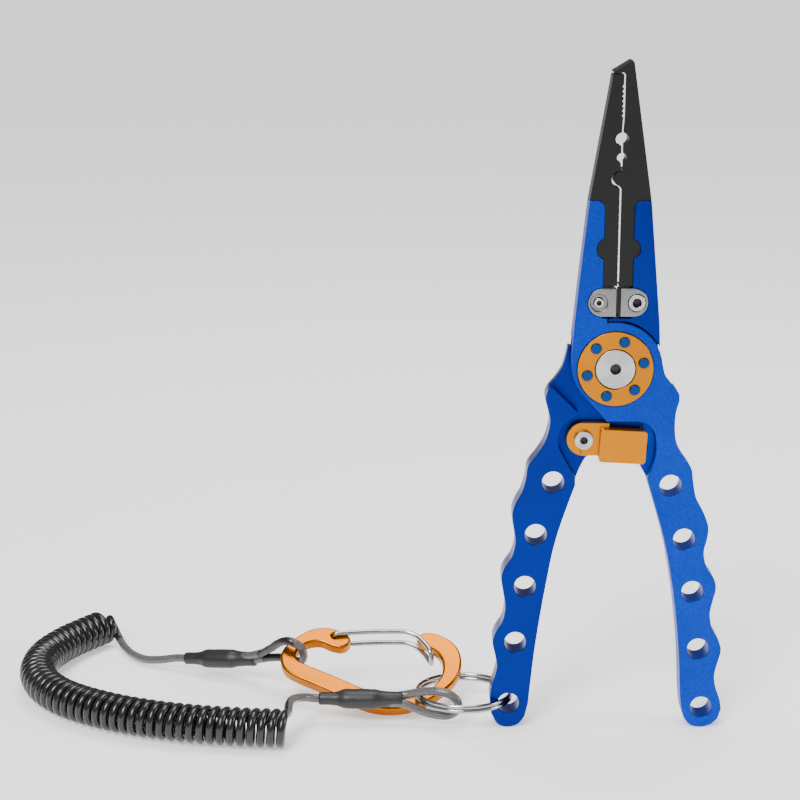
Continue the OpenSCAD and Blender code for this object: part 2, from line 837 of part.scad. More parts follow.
// Lead from the near ferrule to the coil
near_lead_route = concat(
    [on_line(near_a, near_b, ferrule_start + ferrule_length + 0.1), on_line(near_a, near_b, sleeve_length + 0.3)],
    [[-96.4, -1.6, 9.2], [-99, -4.8, 10.3], [-100.1, -9, 11], [-100.2, -13, 10.9], [-100.2, -17, 10]]);
// Centre line of the curly part
coil_route = [
    [-102, -19.8, 6.4], [-117, -18.4, 6.4], [-132, -16, 6.4], [-148, -11.4, 6.4], [-163, -4.4, 6.4],
    [-175.6, 4.6, 6.4], [-184.4, 15.8, 6.4], [-188.6, 28, 6.4], [-188.4, 40.4, 6.4], [-184.4, 52, 6.4],
    [-178.4, 62, 6.4], [-172.6, 70, 6.4], [-168.4, 75.4, 6.4]
];
// Lead from the coil to the far ferrule
far_lead_route = concat(
    [on_line(far_a, far_b, ferrule_start + ferrule_length + 0.1), on_line(far_a, far_b, sleeve_length + 0.3)],
    [[-144.4, 45.3, 4.2], [-150, 46.8, 3], [-155.5, 49.4, 2.2], [-160.4, 55, 1.8], [-164, 61.5, 1.8], [-166.2, 67.3, 2.2]]);
// Loop round the narrow end of the carabiner, in the carabiner's own flat frame
far_loop_route = [
    [-37.5, -9.3, -5.6], [-33, -8.8, -0.5], [-29.8, -8.3, 4], [-27, -8, 6.9], [-24.2, -7.7, 7.6], [-21.2, -7.5, 6.2],
    [-20.4, -7.4, 2.4], [-21.3, -7.6, -1.2], [-24.4, -8, -2.4], [-28.2, -8.5, -2.6], [-33, -9, -5.2],
    [-37.6, -9.6, -8.4]
];

module cable(route, steps) {
    tube(smooth(route, steps), cable_r, 8, [0, 0, 1]);
}

module near_loop() {
    color([0.3, 0.3, 0.32]) cable(near_loop_route, 1);
}

module near_lead() {
    color([0.3, 0.3, 0.32]) cable(near_lead_route, 1);
}

module far_lead() {
    color([0.3, 0.3, 0.32]) cable(far_lead_route, 1);
}

module far_loop() {
    color([0.3, 0.3, 0.32]) clip_place() cable(far_loop_route, 1);
}

module coil() {
    color([0.14, 0.14, 0.15])
    tube(smooth(coil_route, 2), coil_d / 2, 12, [0, 0, 1]);
}

module along(a, b) {
    v = b - a;
    translate(a)
        rotate([0, acos(v[2] / norm(v)), atan2(v[1], v[0])])
            children();
}

// Crimped oval ferrule that grips both strands of a loop
module ferrule(a, b) {
    along(a, b)
        translate([0, 0, ferrule_start])
            linear_extrude(ferrule_length)
                soft_rectangle(ferrule_t, ferrule_w, 1.6);
}

// Shrunk sleeve over a ferrule, wider over the crimp, with the lead leaving its thin end
module sleeve(a, b) {
    color(black)
    difference() {
        along(a, b)
            rotate_extrude()
                polygon([[0, 0], [2.4, 0], [2.7, 6.5], [3.5, 8.5], [3.5, 19], [2.4, 21], [2.15, sleeve_length],
                    [0, sleeve_length]]);
        ferrule(a, b);
        along(a, b) translate([0, 0, ferrule_start + ferrule_length - 1]) cylinder(r = cable_r, h = 20);
    }
}

module near_ferrule() {
    color(steel) ferrule(near_a, near_b);
}

module far_ferrule() {
    color(steel) ferrule(far_a, far_b);
}

module near_sleeve() {
    sleeve(near_a, near_b);
}

module far_sleeve() {
    sleeve(far_a, far_b);
}

// --- Drawing ------------------------------------------------------------------------------------------

back_half();
front_half();
left_jaw();
right_jaw();
left_cutter();
right_cutter();
cutter_insert();
left_cutter_screw();
right_cutter_screw();
pivot_bush();
pivot_screw();
pivot_nut();
thrust_washer();
return_spring();
front_cap_ring();
front_cap_pins();
rear_cap_ring();
rear_cap_pins();
lock_lever();
lock_screw();
lock_washer();
lock_catch_pin();
split_ring();
carabiner_frame();
carabiner_gate();
near_loop();
near_ferrule();
near_sleeve();
near_lead();
coil();
far_lead();
far_sleeve();
far_ferrule();
far_loop();
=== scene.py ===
import json
import math

import bmesh
import bpy
from bpy.props import FloatProperty, FloatVectorProperty, IntProperty, PointerProperty
from mathutils import Matrix, Vector


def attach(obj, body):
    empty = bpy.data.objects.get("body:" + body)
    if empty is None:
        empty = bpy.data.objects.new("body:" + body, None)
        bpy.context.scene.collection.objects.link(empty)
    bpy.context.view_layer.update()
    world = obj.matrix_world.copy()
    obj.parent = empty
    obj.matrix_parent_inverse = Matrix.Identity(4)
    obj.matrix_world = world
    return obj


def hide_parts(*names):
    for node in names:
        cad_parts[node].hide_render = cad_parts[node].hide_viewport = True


bl_info = {
    "name": "Fishing pliers",
    "version": (1, 0, 0),
    "blender": (4, 5, 0),
    "location": "View3D > Sidebar > Fishing pliers",
    "description": "Drilled fishing pliers with a thumb lock and a coiled lanyard",
    "category": "Object",
}

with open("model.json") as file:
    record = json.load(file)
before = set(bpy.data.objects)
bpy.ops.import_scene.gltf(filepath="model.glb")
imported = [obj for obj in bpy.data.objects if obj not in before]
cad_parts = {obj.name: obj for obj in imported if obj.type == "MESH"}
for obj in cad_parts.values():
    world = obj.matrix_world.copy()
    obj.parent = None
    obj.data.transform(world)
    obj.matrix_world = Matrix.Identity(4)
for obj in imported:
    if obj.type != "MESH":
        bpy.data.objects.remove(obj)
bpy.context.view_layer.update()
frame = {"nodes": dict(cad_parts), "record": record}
NODES = frame["nodes"]
BODY = {n: b for b, ns in frame["record"]["behaviour"]["bodies"].items() for n in ns}
MM = 0.001
PIVOT_Z = 118.5

# Places on the front face, in millimetres from the pivot
LEFT_SCREW_X = -5.6
RIGHT_SCREW_X = 6.0
CUTTER_SCREW_Z = 20.8
LOCK_X, LOCK_Z = -9.2, -22.8


# --- Sizes and colours the user can change ---------------------------------------------------


def colour(name, description, value):
    """A colour that the user can pick."""
    return FloatVectorProperty(
        name=name, description=description, subtype="COLOR", size=3, min=0, max=1, default=value
    )


def length(name, description, value, low, high):
    """A length that the user can set, within the range where the shape still works."""
    return FloatProperty(
        name=name,
        description=description,
        default=value,
        min=low,
        max=high,
        subtype="DISTANCE",
        unit="LENGTH",
    )


class PliersSettings(bpy.types.PropertyGroup):
    """Colours and edge widths of the pliers"""

    front_blue: colour("Front blue", "Colour of the front half", (0.003, 0.035, 0.36))
    back_blue: colour("Back blue", "Colour of the back half", (0.0005, 0.016, 0.24))
    orange: colour("Orange", "Colour of the pivot ring and the thumb lock", (0.78, 0.22, 0.0))
    pin_blue: colour("Pin blue", "Colour of the small pins round the pivot", (0.002, 0.05, 0.22))
    jaw_black: colour("Jaw black", "Colour of the jaws", (0.002, 0.002, 0.0022))
    steel: colour("Steel", "Colour of the bright steel parts", (0.62, 0.62, 0.63))
    body_edge: length(
        "Body edge", "Width of the softened edges of the halves", 0.28 * MM, 0.1 * MM, 0.4 * MM
    )
    trim_edge: length(
        "Trim edge", "Width of the softened edges of the small parts", 0.2 * MM, 0.05 * MM, 0.3 * MM
    )


class LanyardSettings(bpy.types.PropertyGroup):
    """Colours and sizes of the lanyard"""

    clip_orange: colour("Clip orange", "Colour of the carabiner", (0.62, 0.17, 0.0))
    chrome: colour("Chrome", "Colour of the ring and the gate", (0.42, 0.42, 0.43))
    # The coil's colour is painted shade, much darker than the ends, for the shade between the close turns.
    cable: colour("Cable", "Colour of the cable's cover in the coil", (0.008, 0.008, 0.009))
    lead: colour("Lead", "Colour of the cable's clearer ends", (0.11, 0.1, 0.1))
    shrink: colour("Sleeve", "Colour of the shrunk sleeves", (0.012, 0.012, 0.013))
    clip_edge: length(
        "Clip edge", "Width of the softened edges of the carabiner", 0.9 * MM, 0.2 * MM, 1.4 * MM
    )
    cable_radius: length(
        "Cable radius", "Radius of the cable", 1.4 * MM, 1.2 * MM, 1.5 * MM
    )
    coil_radius: length(
        "Coil radius", "Radius of the coil's centre line", 4.85 * MM, 4.4 * MM, 5 * MM
    )
    coil_turns: IntProperty(
        name="Coil turns", description="Number of turns in the coil", default=48, min=40, max=52
    )


# --- Finishes --------------------------------------------------------------------------------


class Value:
    """A number or vector inside a finish, which adds and multiplies like a number."""

    def __init__(self, finish, socket):
        self.finish = finish
        self.socket = socket

    def _do(self, kind, a, b=None):
        inputs = [a] if b is None else [a, b]
        return self.finish.node("ShaderNodeMath", {"operation": kind}, *inputs)

    def __add__(self, other):
        return self._do("ADD", self, other)

    __radd__ = __add__

    def __sub__(self, other):
        return self._do("SUBTRACT", self, other)

    def __rsub__(self, other):
        return self._do("SUBTRACT", other, self)

    def __mul__(self, other):
        return self._do("MULTIPLY", self, other)

    __rmul__ = __mul__

    def __truediv__(self, other):
        return self._do("DIVIDE", self, other)

    def __rtruediv__(self, other):
        return self._do("DIVIDE", other, self)

    def __pow__(self, other):
        return self._do("POWER", self, other)

    def sine(self):
        return self._do("SINE", self)

    def root(self):
        return self._do("SQRT", self)

    def over(self, limit):
        return self._do("GREATER_THAN", self, limit)

    def most(self, other):
        return self._do("MAXIMUM", self, other)


class Finish:
    """A material with one shader; what varies over the surface is put on it with put()."""

    def __init__(self, name):
        self.material = bpy.data.materials.new(name)
        self.material.use_nodes = True
        self.tree = self.material.node_tree
        self.tree.nodes.clear()
        output = self.tree.nodes.new("ShaderNodeOutputMaterial")
        self.shader = self.tree.nodes.new("ShaderNodeBsdfPrincipled")
        self.tree.links.new(self.shader.outputs[0], output.inputs["Surface"])

    def node(self, kind, settings=None, *inputs, out=0, **named):
        made = self.tree.nodes.new(kind)
        for key, value in (settings or {}).items():
            setattr(made, key, value)
        by_name = [(k.replace("_", " "), v) for k, v in named.items()]
        for key, value in list(enumerate(inputs)) + by_name:
            self.link(made.inputs[key], value)
        return Value(self, made.outputs[out])

    def link(self, socket, value):
        if isinstance(value, Value):
            self.tree.links.new(value.socket, socket)
        else:
            socket.default_value = value

    def put(self, **values):
        for key, value in values.items():
            if key != "Normal" and isinstance(value, (tuple, list)) and len(value) == 3:
                value = (*value, 1.0)
            self.link(self.shader.inputs[key.replace("_", " ")], value)
        return self

    def place(self):
        return self.node("ShaderNodeTexCoord", out="Object")

    def axes(self):
        parts = self.tree.nodes.new("ShaderNodeSeparateXYZ")
        self.link(parts.inputs[0], self.place())
        return [Value(self, o) for o in parts.outputs]

    def stretched(self, sx, sy, sz):
        return self.node("ShaderNodeVectorMath", {"operation": "MULTIPLY"}, self.place(), (sx, sy, sz))

    def noise(self, scale, detail=3.0, where=None):
        where = where or self.place()
        return self.node("ShaderNodeTexNoise", None, Vector=where, Scale=scale, Detail=detail)

    def between(self, factor, low, high):
        return self.node("ShaderNodeMapRange", None, Value=factor, To_Min=low, To_Max=high)

    def mix(self, factor, a, b):
        made = self.tree.nodes.new("ShaderNodeMix")
        made.data_type = "RGBA"
        self.link(made.inputs["Factor"], factor)
        for key, value in (("A", a), ("B", b)):
            socket = [s for s in made.inputs if s.name == key and s.type == "RGBA"][0]
            self.link(socket, value if isinstance(value, Value) else (*value, 1.0))
        return Value(self, [s for s in made.outputs if s.type == "RGBA"][0])

    def bump(self, height, depth, strength=1.0):
        return self.node("ShaderNodeBump", None, Height=height, Distance=depth, Strength=strength)


def shade(c, k):
    """The colour made k times as bright."""
    return tuple(min(1.0, v * k) for v in c[:3])


def anodised(name, c, grain=1.0, rough=0.36, metal=0.75):
    """Blasted and dyed aluminium: a fine grain and slight cloudy changes of depth."""
    f = Finish(name)
    grains = f.noise(1900, 2.0)
    clouds = f.noise(60, 3.0)
    both = grains * (0.45 * grain) + clouds * 0.4
    f.put(
        Base_Color=f.mix(both, shade(c, 0.5), shade(c, 1.7)),
        Metallic=metal,
        Roughness=f.between(grains * 0.6 + clouds * 0.4, rough - 0.07, rough + 0.09),
        Specular_IOR_Level=0.25,
        Normal=f.bump(grains, 0.00009 * grain, 0.7),
    )
    return f.material


def brushed(name, c, rough=0.28, along="x"):
    """Ground steel with fine scratches along one way."""
    f = Finish(name)
    scale = {"x": (200, 4000, 4000), "z": (4000, 4000, 200)}[along]
    scratches = f.noise(1.0, 4.0, f.stretched(*scale))
    wear = f.noise(90, 3.0)
    f.put(
        Base_Color=f.mix(wear * 0.6 + scratches * 0.4, shade(c, 0.75), shade(c, 1.15)),
        Metallic=1.0,
        Roughness=f.between(scratches, rough - 0.08, rough + 0.12),
        Normal=f.bump(scratches, 0.00004, 0.5),
    )
    return f.material


def turned(name, c, x=0.0, z=PIVOT_Z * MM, pitch=0.00042, socket=1.75):
    """Faced steel with rings left by the lathe round an axis along Y, and a nearly black disc of painted
    shade for the socket's hollow.
    """
    f = Finish(name)
    ax, _, az = f.axes()
    dx, dz = ax - x, az - z
    away = (dx * dx + dz * dz).root()
    rings = (away * (2 * math.pi / pitch)).sine() * 0.5 + 0.5
    wear = f.noise(400, 3.0)
    steel = f.mix(rings * 0.5 + wear * 0.5, shade(c, 0.6), shade(c, 1.2))
    # Painted shade: inside the socket radius the colour is nearly black, for the shade in the socket's
    # hollow.
    f.put(
        Base_Color=f.mix(away.over(socket * MM), shade(c, 0.07), steel),
        Metallic=1.0,
        Roughness=f.between(wear, 0.2, 0.36),
        Normal=f.bump(rings, 0.00005, 0.6),
    )
    return f.material


def black_steel(name, c):
    """Black coated steel: fine grinding marks under a satin coat."""
    f = Finish(name)
    marks = f.noise(1.0, 3.0, f.stretched(2500, 2500, 500))
    clouds = f.noise(120, 3.0)
    f.put(
        Base_Color=f.mix(clouds, shade(c, 0.7), shade(c, 1.8)),
        Metallic=0.0,
        Roughness=f.between(marks * 0.5 + clouds * 0.5, 0.36, 0.54),
        Specular_IOR_Level=0.32,
        Normal=f.bump(marks, 0.00005, 0.6),
    )
    return f.material


def polished(name, c, rough=0.1):
    """Plated wire, with faint draw lines and finger marks."""
    f = Finish(name)
    marks = f.noise(300, 4.0)
    f.put(
        Base_Color=f.mix(marks, shade(c, 0.85), shade(c, 1.1)),
        Metallic=1.0,
        Roughness=f.between(marks, rough, rough + 0.12),
        Normal=f.bump(marks, 0.00003, 0.4),
    )
    return f.material


def plastic(name, c, rough, coat=0.0, depth=0.00004, scale=900):
    """Moulded or shrunk plastic with a faint uneven skin."""
    f = Finish(name)
    skin = f.noise(scale, 3.0)
    f.put(
        Base_Color=f.mix(skin, shade(c, 0.8), shade(c, 1.35)),
        Metallic=0.0,
        Roughness=f.between(skin, rough - 0.04, rough + 0.08),
        Coat_Weight=coat,
        Coat_Roughness=0.06,
        Normal=f.bump(skin, depth, 0.5),
    )
    return f.material


# The cable's straight ends lie right of NEAR_END_X, or behind BACK_Y and right of FAR_END_X, in metres
NEAR_END_X = -0.1016
FAR_END_X = -0.1672
BACK_Y = 0.03


def smoky_cable(name, shaded_coil_colour, lead_colour):
    """Smoky plastic over wire rope: clearer with its strands showing on the straight ends, and painted
    shade in the coil, where it is coloured nearly black for the shade between the close turns.
    """
    f = Finish(name)
    x, y, _ = f.axes()
    skin = f.noise(500, 3.0)
    strands = f.noise(1.0, 2.0, f.stretched(700, 2600, 2600))
    far_end = y.over(BACK_Y) * x.over(FAR_END_X)
    ends = far_end.most(x.over(NEAR_END_X))
    # Painted shade: the coil's colour is nearly black for the shade between its close turns.
    coil = f.mix(skin, shade(shaded_coil_colour, 0.7), shade(shaded_coil_colour, 1.4))
    lead = f.mix(strands, shade(lead_colour, 0.35), shade(lead_colour, 1.6))
    f.put(
        Base_Color=f.mix(ends, coil, lead),
        Roughness=f.between(skin, 0.2, 0.32),
        Specular_IOR_Level=0.4,
        Coat_Weight=0.35,
        Coat_Roughness=0.12,
        Normal=f.bump(skin, 0.00002, 0.5),
    )
    return f.material


# --- Shapes ----------------------------------------------------------------------------------


def show(obj, material, body):
    """Gives a piece its material and the body that it moves with."""
    obj.data.materials.clear()
    obj.data.materials.append(material)
    if obj.name not in bpy.context.scene.collection.all_objects:
        bpy.context.scene.collection.objects.link(obj)
    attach(obj, body)
    return obj


def softened(node, width, material, steps=2, sharp=32.0):
    """The same shape as a CAD node with its sharp edges softened."""
    source = NODES[node]
    obj = bpy.data.objects.new(node + "_finished", source.data.copy())
    mesh = bmesh.new()
    mesh.from_mesh(obj.data)
    bmesh.ops.remove_doubles(mesh, verts=mesh.verts, dist=2e-6)
    bmesh.ops.dissolve_limit(mesh, angle_limit=math.radians(0.4), verts=mesh.verts, edges=mesh.edges)
    mesh.to_mesh(obj.data)
    mesh.free()
    show(obj, material, BODY[node])
    bevel = obj.modifiers.new("edges", "BEVEL")
    bevel.width = width
    bevel.segments = steps
    bevel.limit_method = "ANGLE"
    bevel.angle_limit = math.radians(sharp)
    bevel.use_clamp_overlap = False
    bevel.miter_outer = "MITER_ARC"
    bevel.harden_normals = True
    for face in obj.data.polygons:
        face.use_smooth = True
    weighted = obj.modifiers.new("normals", "WEIGHTED_NORMAL")
    weighted.keep_sharp = True
    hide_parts(node)
    return obj


def lerp(a, b, t):
    """The value t of the way from a to b."""
    return a + (b - a) * t


def smooth(points, steps):
    """A smooth curve through the points."""
    p = [Vector(q) for q in points]
    last = len(p) - 1
    out = []
    for i in range(last):
        p0, p1, p2, p3 = p[max(i - 1, 0)], p[i], p[i + 1], p[min(i + 2, last)]
        for j in range(steps):
            t = j / steps
            out.append(
                0.5
                * (
                    2 * p1
                    + (p2 - p0) * t
                    + (2 * p0 - 5 * p1 + 4 * p2 - p3) * t * t
                    + (3 * p1 - p0 - 3 * p2 + p3) * t**3
                )
            )
    return out + [p[last]]


def wire(name, points, radius, closed=False):
    """A round wire along the points, which are in metres."""
    curve = bpy.data.curves.new(name, "CURVE")
    curve.dimensions = "3D"
    curve.bevel_depth = radius
    curve.bevel_resolution = 4
    curve.use_fill_caps = True
    spline = curve.splines.new("POLY")
    spline.points.add(len(points) - 1)
    for point, place in zip(spline.points, points):
        point.co = (*place, 1.0)
    spline.use_cyclic_u = closed
    spline.use_smooth = True
    return bpy.data.objects.new(name, curve)


def revolved(name, profile, place, sides=40, ripple=None):
    """A turned shape from (distance along, radius) pairs, along local Z of the placing matrix."""
    mesh = bmesh.new()
    rings = []
    for along, radius in profile:
        ring = []
        for k in range(sides):
            a = 2 * math.pi * k / sides
            r = radius * (1 + (ripple(along, a) if ripple else 0))
            ring.append(mesh.verts.new(place @ Vector((r * math.cos(a), r * math.sin(a), along))))
        rings.append(ring)
    for low, high in zip(rings, rings[1:]):
        for k in range(sides):
            n = (k + 1) % sides
            mesh.faces.new((low[k], low[n], high[n], high[k]))
    mesh.faces.new(list(reversed(rings[0])))
    mesh.faces.new(rings[-1])
    data = bpy.data.meshes.new(name)
    mesh.to_mesh(data)
    mesh.free()
    for face in data.polygons:
        face.use_smooth = len(face.vertices) == 4
    return bpy.data.objects.new(name, data)


def pointing(start, end):
    """Places a shape's local Z along the way from start to end."""
    start, end = Vector(start), Vector(end)
    return Matrix.Translation(start) @ (end - start).to_track_quat("Z", "Y").to_matrix().to_4x4()


# --- The lanyard's routes, in millimetres ----------------------------------------------------

# Near is the cable's end on the split ring, far is its end on the clip; A and B end each sleeve

NEAR_A, NEAR_B = (-65.6, -0.9, 8.3), (-93.0, -0.7, 8.5)
FAR_A, FAR_B = (-115.5, 33.9, 8.4), (-144.0, 45.0, 4.3)
NEAR_LOOP = [
    (-72.0, -1.9, 7.9), (-65.1, -1.9, 7.2), (-62.0, -2.3, 6.0), (-58.0, -2.8, 4.5), (-54.0, -3.4, 3.8),
    (-50.6, -4.0, 4.1), (-48.2, -4.4, 5.8), (-47.6, -4.4, 7.6), (-48.2, -4.4, 9.4), (-50.4, -4.0, 11.2),
    (-54.0, -3.0, 11.8), (-58.0, -1.6, 11.3), (-62.0, -0.4, 10.2), (-65.1, 0.1, 9.4), (-72.0, 0.0, 8.6),
    (-80.0, -0.8, 8.4), (-86.0, -0.76, 8.45), (-93.2, -0.7, 8.5), (-96.4, -1.6, 9.2), (-99.2, -4.4, 10.2),
    (-101.0, -8.6, 11.2), (-101.6, -13.0, 11.4),
]
COIL = [
    (-102.0, -19.8, 6.4), (-117.0, -18.4, 6.4), (-132.0, -16.0, 6.4), (-148.0, -11.4, 6.4),
    (-163.0, -4.4, 6.4), (-175.6, 4.6, 6.4), (-184.4, 15.8, 6.4), (-188.6, 28.0, 6.4),
    (-188.4, 40.4, 6.4), (-184.4, 52.0, 6.4), (-178.4, 62.0, 6.4), (-172.6, 70.0, 6.4),
]
FAR_LEAD = [
    (-166.6, 67.6, 2.2), (-164.0, 61.5, 1.8), (-160.4, 55.0, 1.8), (-155.5, 49.4, 2.2), (-150.0, 46.8, 3.0),
    (-144.4, 45.3, 4.2), (-140.6, 43.7, 4.8), (-133.0, 40.7, 5.9), (-125.0, 37.7, 7.0),
]
FAR_LOOP = [
    (-37.5, -9.3, -5.6), (-33.0, -8.8, -0.5), (-29.8, -8.3, 4.0), (-27.0, -8.0, 6.9), (-24.2, -7.7, 7.6),
    (-21.2, -7.5, 6.2), (-20.4, -7.4, 2.4), (-21.3, -7.6, -1.2), (-24.4, -8.0, -2.4), (-28.2, -8.5, -2.6),
    (-33.0, -9.0, -5.2), (-37.6, -9.6, -8.4), (-42.0, -9.8, -10.6),
]
CLIP_PLACE = (
    Matrix.Translation((0, 6.0, 1.15))
    @ Matrix.Rotation(math.radians(33), 4, "X")
    @ Matrix.Translation((-77.0, 18.1, 0))
    @ Matrix.Rotation(math.radians(-27), 4, "Z")
)
RING_PLACE = Matrix.Translation((-45.6, 5.6, 7.9)) @ Matrix.Rotation(math.radians(-2), 4, "X")
RING_RADIUS = 15.2
RING_WIRE = 0.7
CLIP_THICK = 4.3
GATE_WIRE = 0.85
POINTS_PER_TURN = 20
# A sleeve's outline: way along it, and radius
SLEEVE = [
    (0, 2.1), (0.15, 2.35), (0.5, 2.45), (3, 2.45), (6, 2.6), (7.2, 2.8), (8.2, 3.15), (9, 3.3),
    (10, 3.33), (12, 3.34), (14, 3.33), (16, 3.34), (18, 3.33), (19, 3.2), (20, 2.7), (21, 2.35),
    (22, 2.2), (24, 2.1), (26.4, 2.1), (26.8, 2.0), (27, 1.7),
]


def coil_points(radius, turns):
    """The curly part: turns round the coil's centre line, from its front end to its far end."""
    line = smooth(COIL, 12)
    runs = [0.0]
    for a, b in zip(line, line[1:]):
        runs.append(runs[-1] + (b - a).length)
    total = turns * POINTS_PER_TURN
    up = Vector((0, 0, 1))
    first_angle = math.radians(50)
    out, k = [], 0
    for i in range(total + 1):
        s = runs[-1] * i / total
        while k < len(line) - 2 and runs[k + 1] < s:
            k += 1
        a, b = line[k], line[k + 1]
        centre = a.lerp(b, (s - runs[k]) / (runs[k + 1] - runs[k]))
        ahead = (line[min(k + 2, len(line) - 1)] - line[max(k - 1, 0)]).normalized()
        side = ahead.cross(up).normalized()
        angle = first_angle + 2 * math.pi * turns * i / total
        out.append(centre + radius * (side * math.cos(angle) + up * math.sin(angle)))
    return out


def use(kind):
    """The user's settings of one kind."""
    return getattr(bpy.context.scene, kind)


# --- Operators -------------------------------------------------------------------------------


class PLIERS_OT_stage(bpy.types.Operator):
    """Makes the camera, the pale floor and the soft lights"""

    bl_idname = "pliers.stage"
    bl_label = "Stage"

    def execute(self, context):
        scene = context.scene
        lens = bpy.data.cameras.new("camera")
        lens.sensor_width = 36
        lens.lens = 1937 / 800 * 36
        lens.clip_end = 20
        camera = bpy.data.objects.new("camera", lens)
        camera.location = (-0.06636, -0.585, 0.2536)
        camera.rotation_euler = (math.radians(76), 0, 0)
        scene.collection.objects.link(camera)
        scene.camera = camera

        bpy.ops.mesh.primitive_plane_add(size=12, location=(0, 0, -0.0001))
        floor = context.object
        floor.name = "floor"
        f = Finish("floor paper")
        paper = f.noise(30, 3.0)
        f.put(Base_Color=f.mix(paper, (0.93, 0.93, 0.935), (0.95, 0.95, 0.95)), Roughness=0.9)
        f.put(Emission_Color=(1.0, 1.0, 1.0), Emission_Strength=0.55)
        floor.data.materials.append(f.material)

        world = bpy.data.worlds.new("studio")
        world.use_nodes = True
        sky = world.node_tree.nodes["Background"]
        sky.inputs["Color"].default_value = (1, 1, 1, 1)
        sky.inputs["Strength"].default_value = 0.3
        scene.world = world
        for name, place, aim, size, power in (
            ("left softbox", (-0.45, -0.8, 0.75), (0, 0, 0.1), 0.35, 5),
            ("right softbox", (0.8, -0.1, 0.4), (0, 0, 0.1), 0.3, 3),
            ("top softbox", (0.0, 0.2, 1.0), (0, 0, 0.05), 0.6, 7),
        ):
            lamp = bpy.data.lights.new(name, "AREA")
            lamp.size, lamp.energy = size, power
            obj = bpy.data.objects.new(name, lamp)
            obj.location = place
            obj.rotation_euler = (Vector(aim) - Vector(place)).to_track_quat("-Z", "Y").to_euler()
            scene.collection.objects.link(obj)
        sun = bpy.data.lights.new("soft sun", "SUN")
        sun.energy, sun.angle = 2.0, math.radians(25)
        lamp = bpy.data.objects.new("soft sun", sun)
        lamp.rotation_euler = (math.radians(38), 0, math.radians(-25))
        scene.collection.objects.link(lamp)
        return {"FINISHED"}


class PLIERS_OT_lanyard(bpy.types.Operator):
    """Makes the cable with its coil and both loops, and the sleeves and ferrules on it"""

    bl_idname = "pliers.lanyard"
    bl_label = "Lanyard"

    def execute(self, context):
        s = use("lanyard_settings")
        far_loop = [CLIP_PLACE @ Vector(p) for p in FAR_LOOP]
        points = smooth(NEAR_LOOP, 8) + coil_points(s.coil_radius / MM, s.coil_turns)
        points += smooth(FAR_LEAD + far_loop, 8)
        points = [p * MM for p in points]
        cable_length = sum((b - a).length for a, b in zip(points, points[1:]))
        cable = wire("lanyard_cable", points, s.cable_radius)
        show(cable, smoky_cable("smoky cable", s.cable, s.lead), "lanyard")
        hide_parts("near_loop", "near_lead", "coil", "far_lead", "far_loop")

        shrink = plastic("shrunk sleeve", s.shrink, 0.42, depth=0.00008, scale=1400)
        steel = brushed("ferrule steel", use("pliers_settings").steel)
        pieces = []
        for name, start, end in (("near", NEAR_A, NEAR_B), ("far", FAR_A, FAR_B)):
            place = pointing([v * MM for v in start], [v * MM for v in end])

            def ripple(along, a):
                """The shrunk skin: flatter over the ferrule, slightly uneven all along."""
                wide = 0.05 * math.cos(2 * a) if 8 * MM < along < 20 * MM else 0.0
                twist = 0.012 * math.sin(3 * a + along / MM * 1.1)
                return wide + twist + 0.008 * math.sin(along / MM * 2.3)

            profile = [(a * MM, r * MM) for a, r in SLEEVE]
            sleeve = revolved(name + "_shrunk_sleeve", profile, place, 48, ripple)
            show(sleeve, shrink, "lanyard")
            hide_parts(name + "_sleeve")
            ferrule = softened(name + "_ferrule", 0.3 * MM, steel)
            pieces += [sleeve, ferrule]
        self.report({"INFO"}, f"cable {cable_length:.3f} m")
        return {"FINISHED"}


class PLIERS_OT_halves(bpy.types.Operator):
    """Makes the two blue halves with softened edges"""

    bl_idname = "pliers.halves"
    bl_label = "Halves"

    def execute(self, context):
        s = use("pliers_settings")
        softened("front_half", s.body_edge, anodised("front half blue", s.front_blue, 1.4, 0.4))
        softened("back_half", s.body_edge, anodised("back half blue", s.back_blue, 0.7, 0.33))
        return {"FINISHED"}


class PLIERS_OT_jaws(bpy.types.Operator):
    """Makes the two black jaws"""

    bl_idname = "pliers.jaws"
    bl_label = "Jaws"

    def execute(self, context):
        s = use("pliers_settings")
        finish = black_steel("black jaw steel", s.jaw_black)
        for node in ("left_jaw", "right_jaw"):
            softened(node, 0.14 * MM, finish)
        return {"FINISHED"}


class PLIERS_OT_cutters(bpy.types.Operator):
    """Makes the side cutters, the dark strip between them and their screws"""

    bl_idname = "pliers.cutters"
    bl_label = "Side cutters"

    def execute(self, context):
        s = use("pliers_settings")
        finish = brushed("cutter steel", shade(s.steel, 0.42), 0.3)
        for node in ("left_cutter", "right_cutter"):
            softened(node, 0.3 * MM, finish, 1)
        softened("cutter_insert", 0.08 * MM, black_steel("cutter strip", s.jaw_black))
        # The third number is the radius of each screw's nearly black disc of painted socket shade.
        screws = (("left_cutter_screw", LEFT_SCREW_X, 0.8), ("right_cutter_screw", RIGHT_SCREW_X, 1.45))
        z = (PIVOT_Z + CUTTER_SCREW_Z) * MM
        for node, x, socket in screws:
            face = turned(node + " steel", s.steel, x * MM, z, 0.0003, socket)
            softened(node, 0.18 * MM, face)
        return {"FINISHED"}


